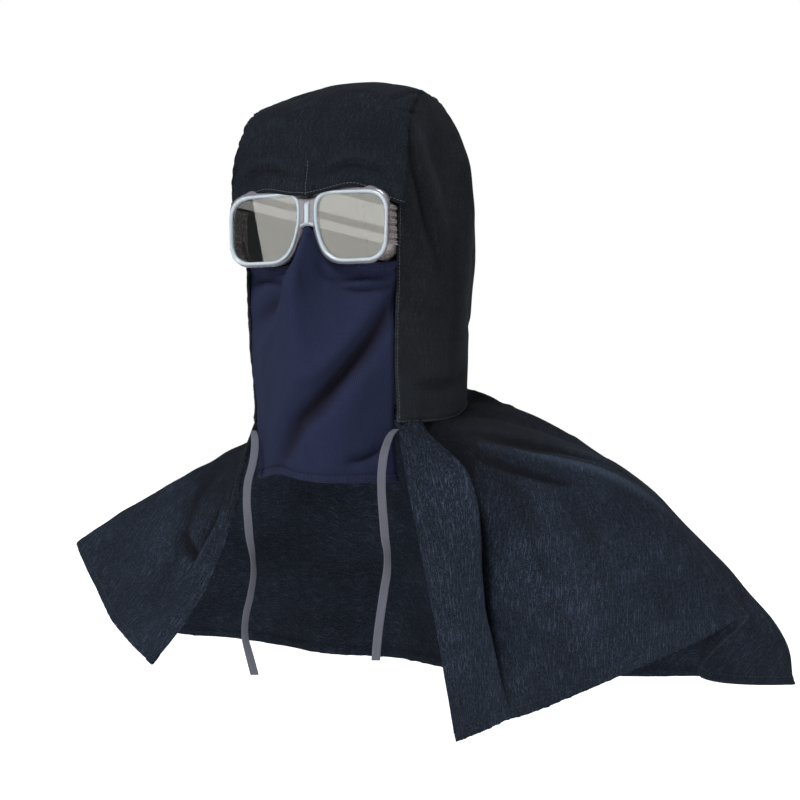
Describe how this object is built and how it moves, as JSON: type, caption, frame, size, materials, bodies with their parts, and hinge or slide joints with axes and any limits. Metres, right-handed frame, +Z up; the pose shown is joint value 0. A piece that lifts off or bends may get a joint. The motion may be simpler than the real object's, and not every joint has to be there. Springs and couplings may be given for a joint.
{
  "type": "protective hood",
  "caption": "Denim protective hood with a wide shoulder cape, knitted face mask, goggles sewn into the eye opening and a neck drawstring of flat tape.",
  "frame": {"origin": "inside of the crown, where the top of the head sits", "axes": "+Z up, the wearer faces -Y, the wearer's left is +X"},
  "size_m": [0.6215, 0.3482, 0.5127],
  "materials": {
    "denim": "matte dark indigo twill",
    "knit": "matte navy rib knit",
    "tape": "matte grey woven tape",
    "frame_plastic": "frosted translucent moulding",
    "lens": "clear"
  },
  "bodies": {
    "root": {"centre_panel": "denim", "side_panel_left": "denim", "side_panel_right": "denim", "face_mask": "knit", "cape": "denim", "drawstring_left": "tape", "drawstring_right": "tape", "goggle_frame": "frame_plastic", "lens_left": "lens", "lens_right": "lens", "side_shield_left": "frame_plastic", "side_shield_right": "frame_plastic"}
  },
  "joints": []
}
